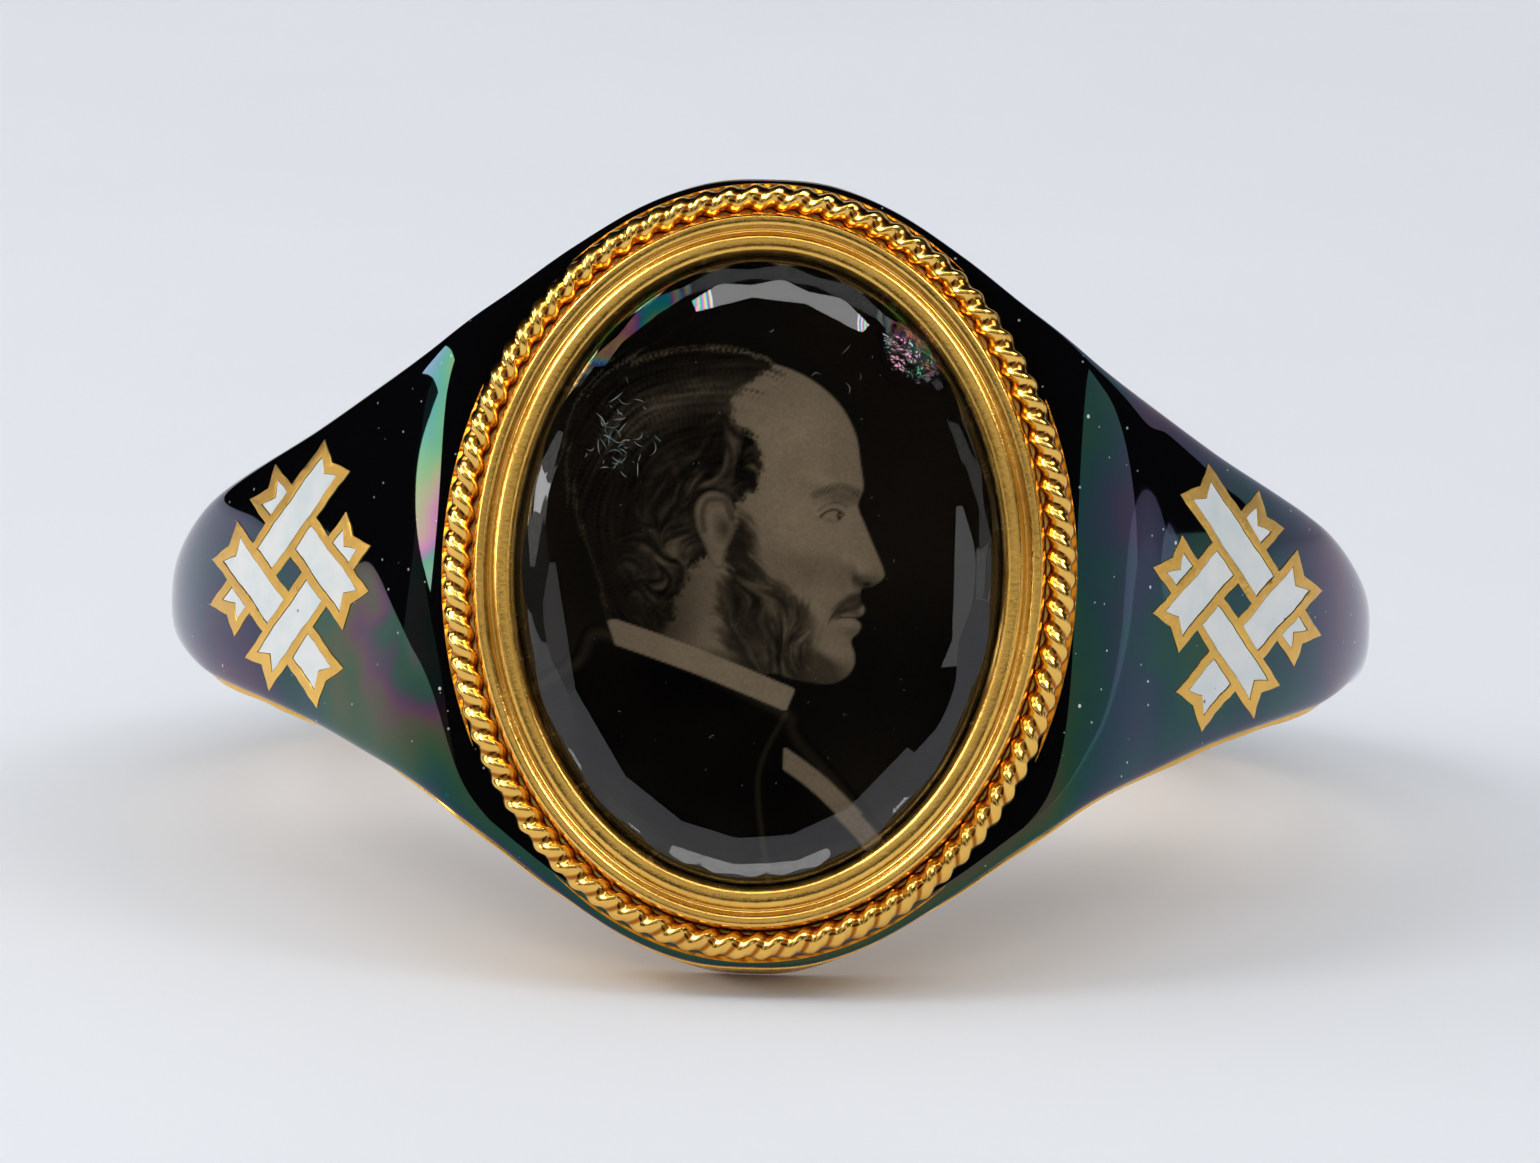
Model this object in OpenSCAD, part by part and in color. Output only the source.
// Oval mourning ring in gold, with black and white enamel and a portrait under a faceted crystal.
// The ring is laid on its side, as it rests by itself: on the lower end of its head and on the lower
// edge of the hoop's back. Every piece is first drawn with the finger axis along Z and the head
// towards -Y, then laid down by one module.

/* [Finger hoop] */
// Diameter of the finger bore
bore_d = 17.2; // [16.2:0.1:19]
// Thickness of the hoop at its back
back_wall = 1.3; // [1.1:0.05:1.8]
// Thickness of the hoop at its two sides
side_wall = 1.74; // [1.4:0.02:2.1]
// Width of the hoop at its back
back_w = 1.9; // [1.6:0.1:2.8]
// Width of the hoop at its two sides
side_w = 1.8; // [1.5:0.1:2.6]
// Thickness of the head, from the bore to the flat beside the border
head_wall = 1.9; // [1.7:0.05:2.4]
// Rise of the enamel's domed face above the gold rims at both edges
dome = 0.45; // [0.42:0.01:0.55]
// How far the gold rims stand out beyond the enamel's edges
rim_out = 0.03; // [0.02:0.01:0.06]

/* [Enamel] */
// Depth of the black enamel
enamel_t = 0.3; // [0.2:0.05:0.4]
// Depth of the white enamel
white_t = 0.2; // [0.1:0.05:0.25]
// Gap between two neighbouring pieces
fit_gap = 0.02; // [0.01:0.01:0.04]

/* [Bezel] */
// Width of the twisted border over all, round the finger
border_w = 10.6; // [9.4:0.1:11.4]
// Length of the twisted border over all, along the finger
border_l = 13.04; // [12:0.04:14]
// Thickness of the twisted border over all
border_d = 0.48; // [0.4:0.02:0.56]
// Full turns of the two strands round the border
border_turns = 43; // [36:1:50]
// Black enamel that shows beyond the border at each end of the head
head_lip = 0.1; // [0.08:0.02:0.3]
// Depth of the border's ledge below the flat of the head
ledge_depth = 0.12; // [0:0.02:0.2]
// Width of the polished collar between the border and the crystal
collar_w = 0.72; // [0.6:0.02:0.9]
// Height of the collar's crests above the flat of the head
collar_h = 0.55; // [0.45:0.05:0.8]
// Overhang of the collar's inner lip over the crystal
lip_grip = 0.08; // [0.05:0.01:0.12]

/* [Crystal and portrait] */
// Thickness of the portrait plate
portrait_t = 0.2; // [0.1:0.05:0.3]
// Height of the crystal's girdle
girdle_h = 0.12; // [0.08:0.02:0.2]
// Height of the crystal over all
crystal_h = 0.82; // [0.7:0.02:1.1]
// Width of the steep edge of the crystal that shows inside the collar
edge_w = 0.34; // [0.26:0.02:0.5]
// Width of the bevel facets
bevel_w = 0.44; // [0.36:0.02:0.7]
// Slope of the bevel facets
bevel_slope = 20; // [15:1:28]
// Number of bevel facets round the table
facets = 17; // [12:1:20]

/* [Shoulder ornament] */
// Angle at the finger axis from the middle of the head to the middle of the ornament
knot_angle = 51; // [49:0.2:52]
// Width of the ornament as seen from the front, as a share of its width if it were flat
squeeze = 0.75; // [0.65:0.05:0.85]
// Black enamel between the ornament and the edge of the hoop
knot_edge = 0.25; // [0.2:0.01:0.35]
// Width of a white ribbon, as a share of half the ornament's height
ribbon_share = 0.28; // [0.24:0.005:0.3]
// Width of the gold line round a ribbon, as such a share
line_share = 0.08; // [0.06:0.005:0.09]
// Width of the black lozenge in the middle of the ornament, as such a share
lozenge_share = 0.23; // [0.2:0.01:0.28]
// Reach of the long tails, which point to the bezel, as such a share
tail_share = 0.98; // [0.85:0.01:1.05]
// Length of a ribbon's end beyond its last crossing, as such a share
stub_share = 0.16; // [0.13:0.01:0.18]
// Depth of the swallow cut at a ribbon's end, as such a share
swallow_share = 0.09; // [0.05:0.01:0.11]

/* [Hidden] */

bore_r = bore_d / 2;
// Distance of the head's flat from the finger axis
flat_y = bore_r + head_wall;
// Half the length of the head along the finger
head_half = border_l / 2 + head_lip;
side_half = side_w / 2;
back_half = back_w / 2;
// Angle at the finger axis between the middle of the head and the side of the border
bezel_angle = atan2(border_w / 2, flat_y);
// Angle from the middle of the head to the side of the hoop, and to its back
side_angle = 90;
back_angle = 180;

// The shoulders, from the middle of the head round to the side of the hoop. The angle is a share of
// bezel_angle. The width share goes from the side's width, 0, to the head's, 1. The wall share goes
// from the side's wall, 0, to the wall under the head's flat, 1. Square is the exponent of the
// section's outline: 2 is an ellipse, more is squarer.
ANGLE = 0;
WIDTH = 1;
WALL = 2;
SQUARE = 3;
SHOULDER = [
    [0.00, 1.000, 1.00, 6.0],
    [0.22, 0.985, 1.00, 6.0],
    [0.44, 0.915, 1.00, 5.6],
    [0.67, 0.785, 1.00, 5.0],
    [0.90, 0.625, 0.95, 4.4],
    [1.15, 0.483, 0.72, 3.8],
    [1.45, 0.380, 0.36, 3.2],
    [1.80, 0.278, 0.12, 2.8],
    [2.15, 0.200, 0.03, 2.5],
    [2.60, 0.120, 0.00, 2.4],
    [3.36, 0.000, 0.00, 2.4]
];

// Steps between sections: fine from the head over the shoulders, coarser round the back
front_angle = 63;
front_steps = 14;
back_steps = 18;
front_step = front_angle / (front_steps - 0.5);
back_step = (back_angle - front_angle) / (back_steps + 0.5);
half_angles = concat(
    [for (i = [0:front_steps - 1]) (i + 0.5) * front_step],
    [for (i = [1:back_steps]) front_angle + i * back_step]
);
angles = concat([for (i = [len(half_angles) - 1:-1:0]) -half_angles[i]], half_angles);
// Points along the outline of one section, less one
arc_steps = 8;

// Slope of a table's column at a row, level at both ends
function row_slope(rows, i, col) = i == 0 || i == len(rows) - 1 ? 0
    : (rows[i + 1][col] - rows[i - 1][col]) / (rows[i + 1][ANGLE] - rows[i - 1][ANGLE]);
// A column's value at a place between rows, on a smooth cubic
function between(rows, at, col, i = 0) =
    at >= rows[len(rows) - 1][ANGLE] ? rows[len(rows) - 1][col]
    : at > rows[i + 1][ANGLE] ? between(rows, at, col, i + 1)
    : let (
        span = rows[i + 1][ANGLE] - rows[i][ANGLE],
        t = (at - rows[i][ANGLE]) / span,
        from = row_slope(rows, i, col) * span,
        to = row_slope(rows, i + 1, col) * span
    ) (2 * t ^ 3 - 3 * t ^ 2 + 1) * rows[i][col] + (t ^ 3 - 2 * t ^ 2 + t) * from
        + (3 * t ^ 2 - 2 * t ^ 3) * rows[i + 1][col] + (t ^ 3 - t ^ 2) * to;
function shoulder(angle, col) = between(SHOULDER, abs(angle) / bezel_angle, col);
// 0 at the side of the hoop, 1 at its back
function toward_back(angle) =
    (1 - cos(180 * max(0, abs(angle) - side_angle) / (back_angle - side_angle))) / 2;

// Half width, wall and squareness of the hoop at an angle from the middle of the head
function half_width(angle) = side_half + (head_half - side_half) * shoulder(angle, WIDTH)
    + (back_half - side_half) * toward_back(angle);
function flat_wall(angle) = flat_y / cos(min(abs(angle), bezel_angle)) - bore_r;
function wall(angle) = side_wall + (flat_wall(angle) - side_wall) * shoulder(angle, WALL)
    + (back_wall - side_wall) * toward_back(angle);
function square_of(angle) = shoulder(angle, SQUARE);
// The gold walls along both edges rise to here, as a distance from the finger axis
function rim_r(angle) = bore_r + wall(angle) - dome;

// Outline above the rim at an angle: points [distance from the finger axis, height along it] from
// the lower edge to the upper one. drop lies below the enamel's face, and lift above the rim's top.
function outline(angle, drop, lift) = let (
        high = dome - lift - drop,
        wide = half_width(angle) - drop,
        power = 2 / square_of(angle)
    ) [for (i = [0:arc_steps]) let (
        turn = 180 * i / arc_steps - 90,
        side = turn < 0 ? -1 : 1
    ) [
        rim_r(angle) + lift + high * max(0, cos(turn)) ^ power,
        side * wide * abs(sin(turn)) ^ power
    ]];
function backwards(points) = [for (i = [len(points) - 1:-1:0]) points[i]];
// A section's points, turned round the finger axis from the middle of the head
function round_finger(points, angle) =
    [for (p = points) [p[0] * sin(angle), -p[0] * cos(angle), p[1]]];

// The core reaches inside the bore, which is cut afterwards
core_spare = 0.6;
core_r = bore_r - core_spare;
bore_steps = 96;
// The ring rests on its gold rims
function rim_half(angle) = half_width(angle) + rim_out;
function hoop_section(angle) = concat(
    [[core_r, -rim_half(angle)], [rim_r(angle), -rim_half(angle)]],
    outline(angle, enamel_t, 0),
    [[rim_r(angle), rim_half(angle)], [core_r, rim_half(angle)]]
);
function enamel_section(angle) = concat(
    outline(angle, 0, fit_gap),
    backwards(outline(angle, enamel_t - fit_gap, fit_gap))
);

// How the ring lies: the lowest points are on the gold rims of the head and of the back
last_angle = half_angles[len(half_angles) - 1];
front_contact = [bore_r * cos(half_angles[0]), rim_half(half_angles[0])];
back_cos = cos(back_angle - last_angle);
back_outline = concat([[rim_r(last_angle), -rim_half(last_angle)]], outline(last_angle, 0, fit_gap));
tilt = min([for (p = back_outline)
    atan2(front_contact[1] + p[1], front_contact[0] + p[0] * back_cos)]);
rest_z = front_contact[1] * cos(tilt) - front_contact[0] * sin(tilt);
// The middle of the ring as it lies, from the edge of its collar to the back of the hoop
front_reach = (flat_y + collar_h) * cos(tilt) + (border_l / 2 - border_d - collar_w / 2) * sin(tilt);
back_reach = (bore_r + back_wall) * cos(tilt);
rest_y = (front_reach - back_reach) / 2;

// Ovals of the bezel are ellipses at an offset from the border's middle line
border_a = (border_w - border_d) / 2;
border_b = (border_l - border_d) / 2;
oval_steps = 56;
function oval_point(offset, turn) =
    [(border_a + offset) * cos(turn), (border_b + offset) * sin(turn)];
function oval(offset) = [for (i = [0:oval_steps - 1]) oval_point(offset, 360 * i / oval_steps)];

// Heights of the bezel, all measured from the finger axis
ledge_y = flat_y - ledge_depth;
border_y = ledge_y + fit_gap + border_d / 2;
crest_y = flat_y + collar_h;
// The bezel is rooted in the core, below the enamel
bezel_root = 0.2;
plate_y = flat_y - enamel_t - bezel_root;
// Offsets of the collar's outer wall and inner edge, and of the chamber inside it
collar_out = -border_d / 2 - fit_gap;
collar_in = collar_out - collar_w;
chamber = collar_in + lip_grip;
// The lip's underside keeps the crystal's girdle down
lip_t = 0.2;
girdle_top = crest_y - lip_t - fit_gap;
girdle_y = girdle_top - girdle_h;
portrait_y = girdle_y - fit_gap - portrait_t;
floor_y = portrait_y - fit_gap;
crystal_top = girdle_y + crystal_h;

// Profile of the collar: share of its width from the outer wall inwards, and how far below its
// crests, as a share of crest_fall
crest_fall = 0.14;
COLLAR = [
    [0.00, 1.2],
    [0.08, 0.4],
    [0.26, 0.0],
    [0.44, 0.3],
    [0.52, 1.0],
    [0.58, 0.3],
    [0.76, 0.0],
    [0.92, 0.4],
    [1.00, 1.2]
];
bezel_profile = concat(
    [
        [border_d / 2 - fit_gap, plate_y],
        [border_d / 2 - fit_gap, ledge_y],
        [collar_out, ledge_y]
    ],
    [for (row = COLLAR) [collar_out - row[0] * collar_w, crest_y - row[1] * crest_fall]],
    [
        [chamber, crest_y - lip_t],
        [chamber, floor_y]
    ]
);

// The border is swept in rings along an ellipse, spaced evenly along its length
rings_per_turn = 7;
border_points = 10;
// Thinnest share of the two strands' common section, between the strands
waist = 0.58;
border_rings = border_turns * rings_per_turn;
function even_turn(share) = 360 * share
    - (border_b - border_a) / (border_b + border_a) / 2 * (180 / PI) * sin(720 * share);
function border_ring(share) = let (
        turn = even_turn(share),
        run = sqrt((border_b * cos(turn)) ^ 2 + (border_a * sin(turn)) ^ 2),
        out = [border_b * cos(turn) / run, border_a * sin(turn) / run],
        at = oval_point(0, turn)
    ) [for (k = [0:border_points - 1]) let (
        round = 360 * k / border_points,
        r = border_d / 2 * (waist + (1 - waist) * cos(round) ^ 2),
        twist = round + 360 * border_turns * share,
        away = r * cos(twist)
    ) [at[0] + out[0] * away, -border_y - r * sin(twist), at[1] + out[1] * away]];

// Outline of the table: each facet's edge touches an ellipse
table_a = border_a + collar_in - fit_gap - edge_w - bevel_w;
table_b = border_b + collar_in - fit_gap - edge_w - bevel_w;
facet_turn = 360 / facets;
function facet_reach(turn, out) =
    sqrt((table_a * cos(turn)) ^ 2 + (table_b * sin(turn)) ^ 2) + out;
function facet_corner(i, out) = let (
        one = i * facet_turn,
        two = (i + 1) * facet_turn,
        p = facet_reach(one, out),
        q = facet_reach(two, out)
    ) [
        (p * sin(two) - q * sin(one)) / sin(facet_turn),
        (q * cos(one) - p * cos(two)) / sin(facet_turn)
    ];
bevel_drop = crystal_top - girdle_y;
bevel_run = bevel_drop / tan(bevel_slope);
// The steep edge rises from the lip to the outer edge of the bevels. Its lower part takes a share of
// its width and of its rise, and between two facets it climbs into the bevels by a share of theirs.
edge_top = crystal_top - bevel_w * tan(bevel_slope);
edge_lower_w = 0.35;
edge_lower_rise = 0.7;
climb = 0.25;
crown_w = 0.6;
edge_out = collar_in - fit_gap;
edge_profile = [
    [chamber - fit_gap, girdle_y],
    [chamber - fit_gap, girdle_top],
    [edge_out, girdle_top],
    [edge_out, crest_y - lip_t / 2],
    [edge_out - edge_w * edge_lower_w, crest_y + (edge_top - crest_y) * edge_lower_rise],
    [edge_out - edge_w, edge_top + bevel_w * tan(bevel_slope) * climb],
    [edge_out - edge_w - bevel_w * crown_w, crystal_top]
];

// The ornament: four straight ribbons woven round a lozenge, drawn as seen from the front. Each row
// gives the ribbon's direction, its side of the middle, its reach ahead and behind, and whether it
// passes under the ribbon ahead (1) or behind (-1).
slant = 45;
knot_x = (bore_r + side_wall) * sin(knot_angle);
// Half the ornament's height leaves knot_edge beside the rim, where the rim passes its middle
knot_half = half_width(asin(knot_x / (bore_r + side_wall - dome))) - knot_edge;
ribbon_w = ribbon_share * knot_half;
line_w = line_share * knot_half;
lozenge_w = lozenge_share * knot_half;
long_tail = tail_share * knot_half;
swallow = swallow_share * knot_half;
gold_half = ribbon_w / 2 + line_w;
// The gold line is wider round the tips
tip_line = 1.6 * line_w;
pitch = lozenge_w / 2 + gold_half;
past = pitch + gold_half + stub_share * knot_half;
// The short tails, which point away from the bezel, end at half the ornament's height
short_tail = knot_half / sin(slant) - tip_line - pitch - gold_half;
DIRECTION = 0;
SIDE = 1;
AHEAD = 2;
BEHIND = 3;
UNDER = 4;
RIBBONS = [
    [slant, 1, long_tail, past, -1],
    [-slant, 1, past, short_tail, -1],
    [slant, -1, past, short_tail, 1],
    [-slant, -1, long_tail, past, 1]
];
// A strip along a ribbon, with a swallow cut at both ends
module swallow_strip(from, to, half, low_cut, high_cut) {
    polygon([
        [from, -half],
        [to, -half],
        [to - high_cut, 0],
        [to, half],
        [from, half],
        [from + low_cut, 0]
    ]);
}
module along(ribbon) {
    rotate(ribbon[DIRECTION]) translate([0, ribbon[SIDE] * pitch]) children();
}
module knot_gold(extra) {
    for (ribbon = RIBBONS) along(ribbon)
        swallow_strip(-ribbon[BEHIND] - tip_line - extra, ribbon[AHEAD] + tip_line + extra,
            gold_half + extra, swallow, swallow);
}
// A ribbon's white is cut where it passes under another, by that ribbon and its gold lines
module knot_white(extra) {
    cut = gold_half - extra;
    for (ribbon = RIBBONS) along(ribbon) {
        crossing = ribbon[UNDER] * pitch;
        swallow_strip(-ribbon[BEHIND] - extra, crossing - cut, ribbon_w / 2 + extra, swallow, 0);
        swallow_strip(crossing + cut, ribbon[AHEAD] + extra, ribbon_w / 2 + extra, 0, swallow);
    }
}
module knot_lozenge(extra) {
    rotate(slant) square(lozenge_w + 2 * extra, center = true);
}

// Faces between rings of points. Closed joins the last ring to the first.
function band_faces(rings, points, closed) = [
    for (i = [0:rings - (closed ? 1 : 2)], k = [0:points - 1]) let (
        next = (i + 1) % rings,
        up = (k + 1) % points,
        a = i * points + k,
        b = next * points + k,
        c = next * points + up,
        d = i * points + up
    ) each [[a, c, b], [a, d, c]]
];
// Ends of an open skin: a flat cap, or a strip between the two halves of a curved wall's section
function flat_cap(points) = [[for (k = [points - 1:-1:0]) k]];
function wall_cap(points) = [
    for (k = [0:points / 2 - 2]) [k, points - 1 - k, points - 2 - k, k + 1]
];
function turned_over(faces, by) = [for (f = faces) [for (k = [len(f) - 1:-1:0]) f[k] + by]];
module skin(rings, cap = []) {
    points = len(rings[0]);
    polyhedron(
        points = [for (ring = rings) each ring],
        faces = concat(
            band_faces(len(rings), points, len(cap) == 0),
            cap,
            turned_over(cap, (len(rings) - 1) * points)
        )
    );
}
// A flat loop, seen from the front, at a distance from the finger axis
function level_loop(loop, away) = [for (q = backwards(loop)) [q[0], -away, q[1]]];
// Rings of a profile [offset, distance from the finger axis] round the bezel's oval, closed inside
module oval_lathe(profile) {
    skin([for (p = profile) level_loop(oval(p[0]), p[1])], flat_cap(oval_steps));
}

// The shoulder's skin from low to high below the enamel's face, over the ornament alone
patch_spare = 0.2;
knot_reach = patch_spare
    + squeeze * cos(slant) * (tip_line + gold_half + max(past + pitch, long_tail - pitch));
knot_from = asin((knot_x - knot_reach) / (flat_y / cos(bezel_angle)));
knot_to = asin((knot_x + knot_reach) / (bore_r + side_wall));
patch_steps = 8;
// The ornament's gold is rooted in the core, and its cells are cut from above the face
gold_root = 0.15;
above_face = 0.2;
module shoulder_skin(side, low, high) {
    skin([for (i = [0:patch_steps]) let (
        share = (side > 0 ? i : patch_steps - i) / patch_steps,
        angle = side * (knot_from + (knot_to - knot_from) * share)
    ) round_finger(concat(outline(angle, high, fit_gap), backwards(outline(angle, low, fit_gap))),
        angle)], wall_cap(2 * (arc_steps + 1)));
}
// A flat drawing of the ornament, carried through the shoulder. side is -1 for the left shoulder.
module through_shoulder(side) {
    translate([side * knot_x, 0, 0]) mirror([side > 0 ? 1 : 0, 0, 0]) rotate([90, 0, 0])
        linear_extrude(height = flat_y) scale([squeeze, 1]) children();
}

module laid() {
    translate([0, rest_y, rest_z]) rotate([-tilt, 0, 0]) children();
}

module hoop() {
    color("goldenrod") laid() difference() {
        union() {
            skin([for (angle = angles) round_finger(hoop_section(angle), angle)]);
            oval_lathe(bezel_profile);
            for (side = [-1, 1]) intersection() {
                shoulder_skin(side, enamel_t + gold_root, 0);
                through_shoulder(side) knot_gold(0);
            }
        }
        for (side = [-1, 1]) intersection() {
            shoulder_skin(side, white_t, -above_face);
            through_shoulder(side) knot_white(0);
        }
        cylinder(r = bore_r, h = 4 * head_half, center = true, $fn = bore_steps);
    }
}

module rope_border() {
    color("gold") laid()
        skin([for (i = [0:border_rings - 1]) border_ring(i / border_rings)]);
}

module enamel() {
    color("black") laid() difference() {
        skin([for (angle = angles) round_finger(enamel_section(angle), angle)]);
        translate([0, -plate_y + fit_gap, 0]) rotate([90, 0, 0])
            linear_extrude(height = head_wall) polygon(oval(border_d / 2 + fit_gap));
        for (side = [-1, 1]) through_shoulder(side) {
            knot_gold(fit_gap);
            knot_lozenge(line_w / 2);
        }
    }
}

module ribbons(side) {
    color("white") laid() intersection() {
        shoulder_skin(side, white_t - fit_gap, 0);
        through_shoulder(side) knot_white(-fit_gap);
    }
}
module ribbons_left() {
    ribbons(-1);
}
module ribbons_right() {
    ribbons(1);
}

module lozenge(side) {
    color("black") laid() intersection() {
        shoulder_skin(side, enamel_t - fit_gap, 0);
        through_shoulder(side) knot_lozenge(-fit_gap);
    }
}
module lozenge_left() {
    lozenge(-1);
}
module lozenge_right() {
    lozenge(1);
}

module crystal() {
    color("lightcyan") laid() intersection() {
        oval_lathe(edge_profile);
        skin([
            for (level = [[bevel_run, girdle_y], [0, crystal_top]])
                level_loop([for (i = [0:facets - 1]) facet_corner(i, level[0])], level[1])
        ], flat_cap(facets));
    }
}

module portrait() {
    color("dimgray") laid() translate([0, -portrait_y, 0]) rotate([90, 0, 0])
        linear_extrude(height = portrait_t) polygon(oval(chamber - fit_gap));
}

hoop();
rope_border();
enamel();
ribbons_left();
ribbons_right();
lozenge_left();
lozenge_right();
crystal();
portrait();
